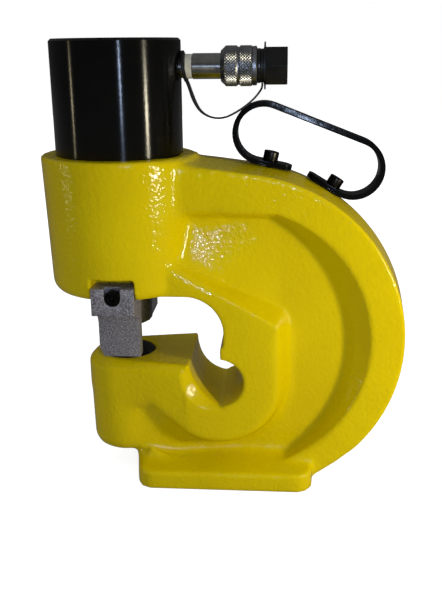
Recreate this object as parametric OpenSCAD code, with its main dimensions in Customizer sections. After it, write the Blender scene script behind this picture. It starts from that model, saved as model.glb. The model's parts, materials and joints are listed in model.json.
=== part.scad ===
/* [Frame casting] */
// Distance from the punch axis back to the middle of the base
punch_to_base = 92.5; // [85:0.5:100]
// Length of the base along the throat
base_l = 158; // [150:1:166]
// Width of the base across the tool
base_w = 130; // [110:1:150]
// Height of the base at its outer edge
base_edge_h = 17; // [14:0.5:18]
// Height of the base where it meets the web
base_web_h = 19; // [18.5:0.5:22]
// Corner radius of the base seen from above
base_corner_r = 16; // [10:0.5:20]
// Radius of the fillet between base and web
base_fillet_r = 9; // [5:0.5:14]
// Outer radius of the C-shaped band at its edges
band_r = 147.5; // [145:0.5:150]
// Band centre behind the punch axis
band_x = 101; // [99:0.5:103]
// Band centre above the floor
band_z = 132.6; // [130:0.2:135]
// Width of the band across the tool
band_w = 82; // [70:1:88]
// Rise of the band's crown at mid width
band_crown = 4; // [2:0.5:6]
// Width of the raised rim between the band's edge and the recess
rim_w = 27.5; // [22:0.5:32]
// Slope of the straight top rail in degrees
rail_slope = 7.4; // [5:0.1:9]
// Thickness of the web in the recess
web_w = 44; // [36:1:54]
// Radius of the recess floor
floor_r = 136.5; // [130:0.5:139]
// Recess floor centre behind the punch axis
floor_x = 62.5; // [58:0.5:65]
// Recess floor centre above the floor
floor_z = 123; // [120:0.5:126]
// Height of the straight crease under the top rail
crease_z = 247.5; // [242:0.5:252]

/* [Cylinder housing] */
// Rise of the collar's top face above the band's edge
collar_rise = 12.5; // [8:0.5:16]
// Radius of the housing at the collar
housing_top_r = 67.8; // [64:0.2:71]
// Radius of the housing at its foot
housing_foot_r = 64.4; // [64:0.2:67]
// Height of the housing's underside
housing_z = 175.5; // [174:0.5:177]
// Radius of the housing's lower edge
housing_edge_r = 11; // [6:0.5:14]

/* [Throat and jaw] */
// Radius of the throat's rear corner
throat_r = 33.5; // [31:0.5:35]
// Throat corner centre behind the punch axis
throat_x = 58.5; // [55:0.5:61]
// Radius of the relief pocket below the throat
pocket_r = 22.5; // [21:0.5:24]
// Pocket centre behind the punch axis
pocket_x = 87; // [85:0.5:88]
// Pocket centre above the floor
pocket_z = 96; // [94:0.5:97]
// Radius of the wide chamfer on the pocket's edge
chamfer_r = 31.3; // [29:0.1:32]
// Width of the thick pad round the throat
pad_w = 94; // [90:1:98]
// Radius of the pad round the pocket
pad_r = 53; // [50:0.5:56]
// Run of the bevel from the pad down to the web
pad_bevel = 11; // [7:0.5:14]
// Height of the jaw's flat top
jaw_z = 111; // [109:0.5:112]
// Radius of the jaw's round nose
nose_r = 37; // [35:0.5:40]
// Height of the jaw's underside above the floor
jaw_foot_z = 20; // [16:0.5:24]

/* [Hydraulic cylinder] */
// Outer diameter of the barrel
barrel_d = 110; // [106:0.5:114]
// Height of the barrel above the collar
barrel_h = 94.6; // [92:0.2:100]
// Bore of the barrel
bore_d = 80; // [76:0.5:84]
// Thickness of the closed end
barrel_end = 16; // [14:0.5:17]
// Diameter of the barrel's screwed foot
barrel_foot_d = 104; // [100:0.5:106]
// Length of the barrel's screwed foot
barrel_foot_l = 62; // [50:0.5:66]
// Diameter of the ram
ram_d = 44; // [40:0.5:46]
// Stroke of the ram
stroke = 20; // [14:0.5:20]
// Height of the oil port's axis above the collar
port_h = 71.6; // [70:0.2:73]

/* [Tools] */
// Diameter of the punched hole
punch_d = 22; // [10:0.5:24]
// Height of the punch tip above the jaw at rest
punch_lift = 11; // [9:0.5:14]
// Diameter of the die
die_d = 49; // [46:0.5:52]
// Height of the die
die_h = 25; // [20:0.5:30]
// Width of each stripper arm
arm_w = 36.3; // [34:0.1:38]
// Gap between the jaw and the near stripper foot
plate_gap = 7; // [6:0.5:12]
// How much shorter the far stripper foot is
far_short = 7.5; // [0:0.5:10]

/* [Carry handle] */
// Thickness of the handle's flat bar
strap_t = 4.5; // [3:0.25:6]
// Width of the handle's flat bar
strap_w = 19; // [16:0.5:24]
// Outer radius of the handle's two bends
loop_r = 26.5; // [24:0.5:29]
// Angle of the front foot round the band in degrees
front_foot_angle = 12; // [10:0.5:14]
// Angle of the rear foot round the band in degrees
rear_foot_angle = 31.5; // [30:0.5:33]

/* [Coupler] */
// Diameter of the coupler's plain body
coupler_d = 21; // [20:0.2:24]
// Diameter of the coupler's knurled collar
collar_d = 33.4; // [32:0.2:36]
// Length of the knurled collar
collar_l = 30; // [26:0.5:34]
// Distance from the barrel to the collar's near end
collar_reach = 34; // [32:0.5:38]
// Width across the flats of the dust cap's hexagon
cap_af = 30; // [28:0.2:31]
// Length of the dust cap's hexagon
cap_l = 17.8; // [14:0.2:22]
// Diameter of the tether cord
tether_d = 3; // [2.5:0.1:3.5]

/* [Hidden] */
$fn = 64;

// Clearances
seat_gap = 0.05;
run_gap = 0.05;
free_gap = 0.3;
cut = 1;
thin = 0.02;
slice_t = 1;
under_cut = 2;

// Heights along the punch axis
collar_z = band_z + band_r + collar_rise;
barrel_top_z = collar_z + barrel_h;
barrel_foot_z = collar_z - barrel_foot_l;
chamber_top_z = barrel_top_z - barrel_end;
port_z = collar_z + port_h;
die_proud = -0.5;
die_top_z = jaw_z + die_proud;
punch_tip_z = jaw_z + punch_lift;
near_foot_z = jaw_z + plate_gap;
far_foot_z = near_foot_z + far_short;
throat_z = housing_z - throat_r;

// Ram and seals
bore_r = bore_d / 2;
ram_r = ram_d / 2;
piston_r = bore_r - run_gap;
piston_h = 22;
piston_top_gap = 19;
piston_top_z = chamber_top_z - piston_top_gap;
piston_foot_z = piston_top_z - piston_h;
piston_boss_r = 20;
piston_boss_h = piston_top_gap - 2;
groove_d = 4;
seal_h = 6;
seal_gap = 4;
guide_h = 6;
guide_z = piston_foot_z + 3;
seal_z = guide_z + guide_h + seal_gap;
spigot_r = 15;
spigot_h = 16;
bush_wall = 4;
bush_r = ram_r + bush_wall;
bush_h = 26;
bush_foot_z = housing_z + 6;
bush_top_z = bush_foot_z + bush_h;
wiper_h = 5;
wiper_wall = 3;
wiper_foot_z = housing_z + 1;
spring_wire = 7;
spring_mean_r = 31;
spring_turns = 8;
spring_sides = 6;
spring_rings = 8;
spring_foot_z = bush_top_z + free_gap;
spring_top_z = piston_foot_z - free_gap;

// Punch holder
nut_r = 23;
nut_h = 32;
nut_top_z = housing_z - 3.5;
nut_foot_z = nut_top_z - nut_h;
nut_chamfer = 2;
stud_r = 17;
stud_h = 14;
punch_head_r = 16;
punch_head_h = 8;
punch_neck_r = 13;
punch_cone_h = 6;
nut_lip_h = 6;
rod_foot_z = nut_foot_z + nut_lip_h + punch_head_h + seat_gap;
rod_top_z = piston_foot_z + spigot_h;

// Die and its seat
die_bore_gap = 0.5;
slug_r = punch_d / 2 + 3;
die_foot_z = die_top_z - die_h;
lock_r = 4;
lock_h = 10;
lock_drop = 13;
lock_z = die_top_z - lock_drop;
hex_key_r = 2.3;

// Stripper arms
arm_in = 29;
arm_leg_t = 11.6;
arm_out = 63.7;
arm_tongue = 21.7;
arm_top_z = housing_z + 11.5;
arm_face_z = housing_z - 12;
arm_slope = [20.5, 7.3];
arm_slope_z = arm_face_z - 13.5;
far_arm_in = 36;
arm_chamfer = [4, 8];
slot_roof = 7;
arm_screw_z = housing_z + 3.2;
m8_r = 4;
m8_head_r = 6.5;
m8_head_h = 8;
m8_socket_r = 3.46;
m8_socket_h = 4.5;
bore_clear = 0.5;
arm_sink = 8.5;
arm_thread_l = 12;

// Handle
crown_r = band_r + band_crown;
foot_seat_r = crown_r + seat_gap;
front_bend = -13.4;
rear_bend = 8.9;
foot_len = 30;
front_screw_x = -3;
rear_screw_x = 2.5;
handle_thread_l = 16;

// Coupler along the port axis, measured from the punch axis
barrel_r = barrel_d / 2;
nipple_r = 8.5;
nipple_bore_r = 4;
nipple_in = 12;
nipple_hub_r = 9.6;
eye_x = barrel_r + free_gap;
eye_t = 4;
eye_r = 12.5;
tape_x = eye_x + eye_t;
tape_l = 5.8;
tape_r = 10.2;
body_x = tape_x + tape_l;
collar_x = barrel_r + collar_reach;
collar_end_x = collar_x + collar_l;
collar_wall = 3.2;
collar_r = collar_d / 2;
body_head_r = collar_r - collar_wall - free_gap;
body_head_x = collar_x + 3;
body_end_x = collar_end_x - 5;
body_shoulder = body_head_r - coupler_d / 2;
socket_r = 9;
socket_l = 14;
collar_bevel = 4;
collar_groove_x = 14;
collar_groove_w = 1.6;
collar_ring_x = 24;
clip_t = 1.4;
clip_x = body_end_x + free_gap;
seal_tube_r = 1.2;
seal_groove_x = body_end_x - 4;
poppet_r = 4.6;
poppet_rod_r = 2;
poppet_l = 5;
poppet_rod_l = 12;
poppet_stroke = 3;
valve_r = 5;
poppet_x = body_end_x - socket_l - poppet_l - 0.5;
valve_x = poppet_x - poppet_rod_l - 4;
poppet_wire = 0.8;
poppet_turns = 6;
cap_neck_r = 11;
cap_flange_r = 14;
cap_flange_t = 2.6;
cap_flange_x = collar_end_x + free_gap;
cap_hex_x = cap_flange_x + 7.2;
cap_plug_r = 8.4;
cap_plug_l = 14;
seal_centre_r = cap_plug_r + run_gap + seal_tube_r;
cap_chamfer = 1.5;
ring_t = 2.6;
ring_wall = 2.4;
ring_x = cap_flange_x + cap_flange_t + free_gap;
ring_r = cap_neck_r + free_gap + ring_wall;

// Route of the tether cord from the eye to the cap's ring, from the punch axis
tether_sides = 8;
tether_route = [[58.5, -8, 356.2], [60.8, -9, 353], [62.6, -9.8, 349], [64.2, -10.5, 344.5], [65.8, -11, 340],
    [67.8, -11.5, 335.6], [71, -12, 330.2], [75.4, -12.3, 326.1], [80.7, -12.5, 323.6], [87, -12.5, 322.6],
    [94.3, -12.5, 323.7], [102, -12.5, 327.4], [110, -12, 332.5], [117, -10.5, 338.4], [121.3, -8, 343.5],
    [123.2, -4.2, 346.8], [123.5, -3, 350.4]];

// Helpers

// Moves a shape drawn from the punch axis to the part's own frame.
module at_punch() {
    translate([-punch_to_base, 0, 0]) children();
}

// Extrudes an outline drawn in X and Z across the tool, centred on mid width.
module across(width) {
    rotate([90, 0, 0]) linear_extrude(height = width, center = true) children();
}

// Turns a shape drawn along Z so that it runs along the coupler, starting at x.
module along_port(x) {
    translate([x, 0, port_z]) rotate([0, 90, 0]) children();
}

// Places a shape on the band's crown at an angle, with Z pointing out of the band.
module on_band(angle) {
    translate([band_x, 0, band_z]) rotate([0, angle, 0]) translate([0, 0, crown_r]) children();
}

module ring(outer_r, inner_r, height) {
    difference() {
        cylinder(r = outer_r, h = height);
        translate([0, 0, -cut]) cylinder(r = inner_r, h = height + 2 * cut);
    }
}

// Socket head screw with its head's seat at Z = 0 and its shank below.
module cap_screw(shank_l) {
    difference() {
        union() {
            cylinder(r = m8_head_r, h = m8_head_h);
            translate([0, 0, -shank_l]) cylinder(r = m8_r, h = shank_l);
        }
        translate([0, 0, m8_head_h - m8_socket_h]) cylinder(r = m8_socket_r, h = m8_socket_h + cut, $fn = 6);
    }
}

// Points of a helix of the given mean radius and height.
function helix(r, h, turns, rings) =
    [for (i = [0 : turns * rings]) let (a = 360 * i / rings)
        [r * cos(a), r * sin(a), h * i / (turns * rings)]];

// Points along an arc, from one angle to another.
function arc(centre, r, from, to, steps) =
    [for (i = [0 : steps]) let (a = from + (to - from) * i / steps) centre + r * [cos(a), sin(a)]];

function unit(v) = v / norm(v);

// Direction of a path at one of its points.
function heading(path, i) =
    unit(path[min(i + 1, len(path) - 1)] - path[max(i - 1, 0)]);

// One ring of a tube round a path's point, kept square to the path.
function tube_ring(p, along, r, sides, side_axis) =
    let (u = unit(cross(along, side_axis)), v = cross(along, u))
    [for (k = [0 : sides - 1]) p + r * cos(360 * k / sides) * u + r * sin(360 * k / sides) * v];

// Least distance between a tube's surface and itself, on points that lie at least skip rings apart.
function least_gap(path, d, skip) =
    min([for (i = [0 : len(path) - 1 - skip], j = [i + skip : len(path) - 1]) norm(path[i] - path[j])]) - d;

// Sweeps a round tube along a path. side_axis is a direction that the path never follows.
module tube(path, r, sides, side_axis) {
    rings = len(path);
    points = [for (i = [0 : rings - 1]) each tube_ring(path[i], heading(path, i), r, sides, side_axis)];
    skin = [for (i = [0 : rings - 2], k = [0 : sides - 1]) let (
            a = i * sides + k,
            b = i * sides + (k + 1) % sides)
        each [[a, b, a + sides], [b, b + sides, a + sides]]];
    first = [for (k = [1 : sides - 2]) [0, k + 1, k]];
    last_ring = (rings - 1) * sides;
    last = [for (k = [1 : sides - 2]) [last_ring, last_ring + k, last_ring + k + 1]];
    polyhedron(points = points, faces = concat(skin, first, last));
}

// Frame casting

// Housing round the cylinder, slightly tapered, with a round lower edge that the throat's roof trims.
module housing() {
    low_z = housing_z - under_cut;
    edge = arc([housing_foot_r - housing_edge_r, low_z + housing_edge_r], housing_edge_r, -90, 0, 6);
    rotate_extrude()
        polygon(concat([[0, low_z]], edge, [[housing_top_r, collar_z], [0, collar_z]]));
}

module square_at(x, y, w, h) {
    translate([x, y]) square([w, h]);
}

rail_foot = [band_x + band_r * sin(rail_slope), band_z + band_r * cos(rail_slope)];
rail_start_x = 30;
rail_start_z = rail_foot[1] + (rail_foot[0] - rail_start_x) * tan(rail_slope);

// One slice of the band's outline, at a distance from mid width.
module band_slice(y, r) {
    translate([0, y, 0]) across(slice_t) {
        translate([band_x, band_z]) circle(r = r, $fn = 96);
        square_at(rail_start_x, band_z, slice_t, rail_start_z - band_z + r - band_r);
    }
}

// The C-shaped band and its web before the throat is cut, with a crowned outer face.
module band_blank() {
    edge_y = (band_w - slice_t) / 2;
    intersection() {
        hull() {
            band_slice(-edge_y, band_r);
            band_slice(0, crown_r);
            band_slice(edge_y, band_r);
        }
        translate([rail_start_x - 10, -band_w, 0]) cube([2 * crown_r, 2 * band_w, 2 * crown_r]);
    }
}

roof_lean = 0.42;

// Recess on one side of the web: a leaning cone from the rim to the floor, cut off below the rail.
module dish(side) {
    intersection() {
        hull() {
            translate([0, side * (band_w / 2 + slice_t), 0]) across(slice_t)
                translate([band_x, band_z]) circle(r = band_r - rim_w, $fn = 96);
            translate([0, side * (web_w + slice_t) / 2, 0]) across(slice_t)
                translate([floor_x, floor_z]) circle(r = floor_r, $fn = 96);
        }
        translate([-floor_r, 0, 0]) rotate([90, 0, 90]) linear_extrude(height = 3 * floor_r)
            polygon([[0, -cut], [side * band_w, -cut], [side * band_w, crease_z + roof_lean * band_w / 2],
                [0, crease_z - roof_lean * band_w / 2]]);
    }
}

pad_corner = [131, 145];
pad_corner_r = 8;
pad_head = [29, 210];
pad_head_r = 2;
pad_heel = [45, 82];
pad_heel_r = 18;
pad_drop = 4;

// One slice of the pad round the throat, grown outwards by a step.
module pad_slice(y, step) {
    translate([0, y, 0]) across(slice_t) {
        translate([pocket_x, pocket_z - pad_drop]) circle(r = pad_r + step, $fn = 40);
        translate(pad_heel) circle(r = pad_heel_r + step, $fn = 16);
        translate(pad_corner) circle(r = pad_corner_r + step, $fn = 16);
        translate(pad_head) circle(r = pad_head_r + step, $fn = 8);
    }
}

// Thick pad round the throat and pocket, bevelled down to the web on both sides.
module pad_blank() {
    face_y = (pad_w - slice_t) / 2;
    web_y = web_w / 2 - under_cut;
    hull() {
        pad_slice(-face_y, 0);
        pad_slice(-web_y, pad_bevel);
        pad_slice(web_y, pad_bevel);
        pad_slice(face_y, 0);
    }
}

cheek_x = 60;
cheek_drop = 31;
cheek_taper = 13;
cheek_turn = acos(nose_r / norm([cheek_x, pad_w / 2])) + atan2(pad_w / 2, cheek_x) - 90;
cheek_l = 64;
nose_bevel = [8, 8.5];
cheek_bevel = 5;
trim_bevel = [7, 9.5];
plate_half = 33;
plate_root = [112, 20.5];

// What the jaw's slanted cheek takes off the pad on one side, with the bevel along its top edge.
module cheek_trim(side) {
    w = nose_r - free_gap;
    foot_z = jaw_z - trim_bevel[1];
    rotate([0, 0, side * cheek_turn]) translate([-nose_r, 0, 0]) rotate([90, 0, 90])
        linear_extrude(height = nose_r + cheek_l)
            polygon([[side * w, -cut], [side * w, foot_z], [side * (w - trim_bevel[0]), jaw_z],
                [side * (w - trim_bevel[0]), jaw_z + nose_r], [side * pad_w, jaw_z + nose_r], [side * pad_w, -cut]]);
}

module pad() {
    difference() {
        pad_blank();
        cheek_trim(-1);
        cheek_trim(1);
    }
}

// One level of the jaw's upper block: a round nose that widens towards the throat.
module cheek_slice(z, nose, half_w) {
    translate([0, 0, z]) {
        cylinder(r = nose, h = slice_t, $fn = 48);
        translate([cheek_x, -half_w, 0]) cube([slice_t, 2 * half_w, slice_t]);
    }
}

// Lower jaw: upper block with bevelled edges, round nose below it and the plate behind.
module jaw() {
    foot_r = nose_r - 1.5;
    nose_top_z = jaw_z - cheek_drop + 4;
    hull() {
        cheek_slice(jaw_z, nose_r - nose_bevel[0], pad_w / 2 - cheek_bevel);
        cheek_slice(jaw_z - nose_bevel[1], nose_r, pad_w / 2);
        cheek_slice(jaw_z - cheek_drop, nose_r, pad_w / 2 - 2);
        cheek_slice(jaw_z - cheek_drop - cheek_taper, nose_r - 1, plate_half);
    }
    rotate_extrude()
        polygon([[0, jaw_foot_z], [foot_r - 8, jaw_foot_z], [foot_r - 2.4, jaw_foot_z + 2.4],
            [foot_r, jaw_foot_z + 8], [nose_r - 0.5, nose_top_z], [0, nose_top_z]]);
    translate([0, 0, jaw_foot_z + under_cut]) linear_extrude(height = nose_top_z - jaw_foot_z - 2 * under_cut)
        polygon([[0, -plate_half - cut], [plate_root[0], -plate_root[1]], plate_root, [0, plate_half + cut]]);
}

base_nose = [7, 12];
base_lean = 10;

// One side of the base's outline seen from above, from its pointed front to its rear.
function base_side(start_x, half) = concat([base_nose],
    arc([start_x + base_corner_r, half - base_corner_r], base_corner_r, 180 - base_lean, 90, 6),
    arc([start_x + base_l - base_corner_r, half - base_corner_r], base_corner_r, 90, 0, 6));

function mirrored(v) = [for (i = [len(v) - 1 : -1 : 0]) [v[i][0], -v[i][1]]];

// Base with round corners, a pointed front, a slightly sloped top and a fillet up to the web.
module base() {
    start_x = punch_to_base - base_l / 2;
    half = base_w / 2;
    side = base_side(start_x, half);
    root_y = web_w / 2 - 1;
    fillet = [for (a = [0 : 15 : 90])
        [root_y + base_fillet_r * (1 - sin(a)), base_web_h + base_fillet_r * (1 - cos(a))]];
    right = concat([[half, 0], [half, base_edge_h]], fillet);
    left = [for (i = [len(right) - 1 : -1 : 0]) [-right[i][0], right[i][1]]];
    intersection() {
        rotate([90, 0, 90]) linear_extrude(height = start_x + base_l + cut)
            polygon(concat(right, left));
        translate([0, 0, -cut]) linear_extrude(height = 2 * base_web_h + base_fillet_r)
            polygon(concat(side, mirrored(side)));
    }
}

notch = [88.8, 128];
notch_bevel = [2.6, 3];
wall_centre = [104.7, 112.8];
wall_r = 43.7;
wall_end = 249;
pocket_start = -78;
pocket_end = 85;

// Outline of the throat, its small notch and the pocket below it.
module throat_outline() {
    mouth = 2 * housing_top_r;
    wall_start = 180 + asin((wall_centre[1] - jaw_z) / wall_r);
    polygon(concat([[-mouth, jaw_z]], arc(wall_centre, wall_r, wall_start, wall_end, 8),
        arc([pocket_x, pocket_z], pocket_r, pocket_start, pocket_end, 18), [notch, notch + notch_bevel],
        arc([throat_x, throat_z], throat_r, 0, 90, 12), [[-mouth, housing_z]]));
}

chamfer_shift = [-2.5, 5];
chamfer_depth = 11;
chamfer_run = 12.6;
chamfer_end_x = 92;

// Wide chamfer on the pocket's front wall, on one side of the pad.
module pocket_chamfer(side) {
    intersection() {
        translate([pocket_x + chamfer_shift[0], side * (pad_w / 2 + thin), pocket_z + chamfer_shift[1]])
            rotate([side * 90, 0, 0]) cylinder(r1 = chamfer_r, r2 = chamfer_r - chamfer_run, h = chamfer_depth);
        translate([0, -pad_w, 0]) cube([chamfer_end_x, 2 * pad_w, jaw_z + under_cut]);
    }
}

module throat() {
    across(2 * pad_w) throat_outline();
    pocket_chamfer(-1);
    pocket_chamfer(1);
}

// Slots on both sides of the housing for the stripper arms, with their screw holes.
module arm_slots() {
    half = arm_w / 2 + free_gap;
    back = arm_out - arm_tongue - free_gap;
    for (s = [-1, 1]) {
        translate([-half, s > 0 ? back : -back - housing_top_r, housing_z - cut])
            cube([2 * half, housing_top_r, arm_top_z + slot_roof - housing_z + cut]);
        translate([0, s * (back + cut), arm_screw_z]) rotate([s * 90, 0, 0])
            cylinder(r = m8_r + seat_gap, h = arm_thread_l + 2 * cut);
    }
}

// Bores for the barrel, spring, bush and ram along the punch axis.
module ram_bores() {
    translate([0, 0, barrel_foot_z - seat_gap]) cylinder(r = barrel_foot_d / 2 + seat_gap, h = 2 * barrel_foot_l);
    translate([0, 0, bush_top_z]) cylinder(r = bore_r, h = barrel_foot_z - bush_top_z + cut);
    translate([0, 0, bush_foot_z]) cylinder(r = bush_r + seat_gap, h = bush_h + cut);
    translate([0, 0, housing_z - cut]) cylinder(r = ram_r + wiper_wall + seat_gap, h = bush_foot_z - housing_z + 2 * cut);
}

// Seat for the die, the hole that slugs drop through and the lock screw's hole.
module die_seat() {
    translate([0, 0, die_foot_z]) cylinder(r = die_d / 2 + seat_gap, h = die_h + cut);
    translate([0, 0, -cut]) cylinder(r = slug_r, h = die_foot_z + 2 * cut);
    translate([-nose_r - cut, 0, lock_z]) rotate([0, 90, 0]) cylinder(r = lock_r + seat_gap, h = nose_r - die_d / 4);
}

module handle_taps() {
    on_band(front_foot_angle) translate([front_screw_x, 0, -handle_thread_l - cut])
        cylinder(r = m8_r + seat_gap, h = handle_thread_l + 2 * cut);
    on_band(rear_foot_angle) translate([rear_screw_x, 0, -handle_thread_l - cut])
        cylinder(r = m8_r + seat_gap, h = handle_thread_l + 2 * cut);
}

module frame_casting() {
    color("gold") at_punch() difference() {
        union() {
            difference() {
                band_blank();
                dish(-1);
                dish(1);
            }
            housing();
            pad();
            jaw();
            base();
        }
        throat();
        arm_slots();
        ram_bores();
        die_seat();
        handle_taps();
    }
}

// Cylinder, ram and punch

barrel_chamfer = 2;
port_drill_r = 5;

module barrel() {
    color("#161616") at_punch() difference() {
        union() {
            translate([0, 0, barrel_foot_z]) cylinder(r = barrel_foot_d / 2, h = barrel_foot_l + cut);
            rotate_extrude()
                polygon([[0, collar_z], [barrel_r, collar_z], [barrel_r, barrel_top_z - barrel_chamfer],
                    [barrel_r - barrel_chamfer, barrel_top_z], [0, barrel_top_z]]);
        }
        translate([0, 0, barrel_foot_z - cut]) cylinder(r = bore_r, h = chamber_top_z - barrel_foot_z + cut);
        along_port(barrel_r - nipple_in) cylinder(r = nipple_r + seat_gap, h = nipple_in + cut);
        along_port(bore_r - 2 * cut) cylinder(r = port_drill_r, h = barrel_r - bore_r);
    }
}

// Groove round the piston, from its foot height and its height.
module piston_groove(z, h) {
    translate([0, 0, z]) ring(bore_r + cut, piston_r - groove_d, h);
}

module piston() {
    color("dimgray") at_punch() difference() {
        union() {
            translate([0, 0, piston_foot_z]) cylinder(r = piston_r, h = piston_h);
            translate([0, 0, piston_top_z - cut]) cylinder(r = piston_boss_r, h = piston_boss_h + cut);
        }
        piston_groove(seal_z, seal_h);
        piston_groove(guide_z, guide_h);
        translate([0, 0, piston_foot_z - cut]) cylinder(r = spigot_r + seat_gap, h = spigot_h + cut + seat_gap);
    }
}

// Lip seal: a ring with a groove in its pressure side.
module piston_seal() {
    lip = groove_d / 3;
    color("black") at_punch() translate([0, 0, seal_z + seat_gap]) difference() {
        ring(piston_r, piston_r - groove_d + seat_gap, seal_h - 2 * seat_gap);
        translate([0, 0, seal_h / 2]) ring(piston_r - lip, piston_r - groove_d + lip, seal_h);
    }
}

module guide_ring() {
    color("sienna") at_punch() translate([0, 0, guide_z + seat_gap])
        ring(piston_r, piston_r - groove_d + seat_gap, guide_h - 2 * seat_gap);
}

module ram_rod() {
    color("silver") at_punch() {
        translate([0, 0, nut_top_z + seat_gap]) cylinder(r = ram_r, h = piston_foot_z - nut_top_z - seat_gap);
        translate([0, 0, piston_foot_z - cut]) cylinder(r = spigot_r, h = spigot_h + cut);
        translate([0, 0, rod_foot_z]) cylinder(r = stud_r, h = nut_top_z - rod_foot_z + cut);
    }
}

module return_spring() {
    lift = spring_wire / 2;
    run = spring_top_z - spring_foot_z - spring_wire;
    coil = [for (p = helix(spring_mean_r, run, spring_turns, spring_rings)) p + [0, 0, spring_foot_z + lift]];
    echo(str("return_spring least gap to itself, mm: ", least_gap(coil, spring_wire, spring_rings / 2)));
    color("gray") at_punch() tube(coil, spring_wire / 2, spring_sides, [0, 0, 1]);
}

module guide_bush() {
    color("darkgoldenrod") at_punch() translate([0, 0, bush_foot_z + seat_gap])
        ring(bush_r, ram_r + run_gap, bush_h - seat_gap);
}

module rod_wiper() {
    color("black") at_punch() translate([0, 0, wiper_foot_z])
        ring(ram_r + wiper_wall, ram_r + run_gap, wiper_h - seat_gap);
}

// Round nut that clamps the punch's head against the ram, with two spanner flats' bevels.
module punch_nut() {
    color("#2b2b2b") at_punch() difference() {
        rotate_extrude()
            polygon([[0, nut_foot_z], [nut_r - nut_chamfer, nut_foot_z], [nut_r, nut_foot_z + nut_chamfer],
                [nut_r, nut_top_z - nut_chamfer], [nut_r - nut_chamfer, nut_top_z], [0, nut_top_z]]);
        translate([0, 0, nut_foot_z + nut_lip_h]) cylinder(r = stud_r + seat_gap, h = nut_h);
        translate([0, 0, nut_foot_z - cut]) cylinder(r = punch_neck_r + seat_gap, h = nut_h);
    }
}

// Punch with a head in the nut, a neck, a cone and the cutting point.
module punch() {
    head_z = nut_foot_z + nut_lip_h + seat_gap / 2;
    tip_r = punch_d / 2;
    neck_z = nut_foot_z - 2;
    color("lightsteelblue") at_punch() rotate_extrude()
        polygon([[0, punch_tip_z], [tip_r, punch_tip_z], [tip_r, neck_z - punch_cone_h], [punch_neck_r, neck_z],
            [punch_neck_r, head_z], [punch_head_r, head_z], [punch_head_r, head_z + punch_head_h - seat_gap],
            [0, head_z + punch_head_h - seat_gap]]);
}

// Die with a cutting hole that opens out below its land.
module die() {
    land = 5;
    hole_r = punch_d / 2 + die_bore_gap;
    color("#1a1a1a") at_punch() difference() {
        rotate_extrude()
            polygon([[0, die_foot_z + seat_gap], [die_d / 2, die_foot_z + seat_gap], [die_d / 2, die_top_z - 1],
                [die_d / 2 - 1, die_top_z], [0, die_top_z]]);
        translate([0, 0, die_top_z - land - cut]) cylinder(r = hole_r, h = land + 2 * cut);
        translate([0, 0, die_foot_z - cut]) cylinder(r = hole_r + 1, h = die_h - land + cut);
    }
}

// Grub screw in the jaw's nose that holds the die.
module die_lock_screw() {
    color("#1a1a1a") at_punch() translate([-die_d / 2 - seat_gap - lock_h, 0, lock_z]) rotate([0, 90, 0]) difference() {
        cylinder(r = lock_r, h = lock_h);
        translate([0, 0, -cut]) cylinder(r = hex_key_r, h = m8_socket_h + cut, $fn = 6);
    }
}

// Stripper arms

// Side outline of the near arm: a tongue in the housing's slot, a thick block, a slope and a thin leg.
near_outline = [[-arm_in, near_foot_z], [-arm_in - arm_leg_t, near_foot_z], [-arm_in - arm_leg_t, arm_slope_z],
    [arm_slope[0] - arm_out, arm_face_z - arm_slope[1]], [-arm_out, arm_face_z]];

// Side outline of the far arm, whose block runs down to its foot.
far_outline = [[-far_arm_in, far_foot_z], [-arm_out, far_foot_z]];

// One stripper arm drawn on the near side, from its lower outline and the height of its foot.
module stripper_arm(outline, foot_z) {
    tongue_in = arm_out - arm_tongue;
    half = arm_w / 2;
    shoulder_z = housing_z - free_gap;
    difference() {
        translate([-half, 0, 0]) rotate([90, 0, 90]) linear_extrude(height = arm_w)
            polygon(concat(outline, [[-arm_out, arm_top_z], [-tongue_in, arm_top_z], [-tongue_in, shoulder_z],
                [outline[0][0], shoulder_z]]));
        across(4 * arm_out) polygon([[-half - cut, foot_z - cut], [-half + arm_chamfer[0], foot_z - cut],
            [-half + arm_chamfer[0], foot_z], [-half, foot_z + arm_chamfer[1]], [-half - cut, foot_z + arm_chamfer[1]]]);
        translate([0, -arm_out - cut, arm_screw_z]) rotate([-90, 0, 0]) {
            cylinder(r = m8_r + bore_clear, h = 2 * arm_tongue);
            cylinder(r = m8_head_r + bore_clear, h = arm_sink + cut);
        }
        translate([-m8_head_r - bore_clear, -arm_out - cut, arm_screw_z])
            cube([2 * (m8_head_r + bore_clear), arm_sink + cut, arm_top_z]);
    }
}

module stripper_near() {
    color("darkgray") at_punch() stripper_arm(near_outline, near_foot_z);
}

module stripper_far() {
    color("darkgray") at_punch() rotate([0, 0, 180]) stripper_arm(far_outline, far_foot_z);
}

module stripper_screws() {
    color("#1a1a1a") at_punch() for (turn = [0, 180])
        rotate([0, 0, turn]) translate([0, -arm_out + arm_sink, arm_screw_z]) rotate([90, 0, 0])
            cap_screw(arm_tongue - arm_sink + arm_thread_l);
}

// Carry handle

// Centre of a bend, from its foot's angle and its place along the foot.
function bend_centre(angle, along) =
    [band_x + (foot_seat_r + loop_r) * sin(angle) + along * cos(angle),
     band_z + (foot_seat_r + loop_r) * cos(angle) - along * sin(angle)];

front_centre = bend_centre(front_foot_angle, front_bend);
rear_centre = bend_centre(rear_foot_angle, rear_bend);
bar_angle = atan2(rear_centre[1] - front_centre[1], rear_centre[0] - front_centre[0]);
bar_l = norm(rear_centre - front_centre);

// Point beside the band, from an angle, a distance along the tangent and a distance from the centre.
function band_point(angle, along, out) =
    [band_x + out * sin(angle) + along * cos(angle), band_z + out * cos(angle) - along * sin(angle)];

// Free ends of the two feet, counted along each foot.
front_end = front_bend + foot_len;
rear_end = rear_bend - foot_len;
foot_round_r = strap_w / 2 + 1.5;

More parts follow.
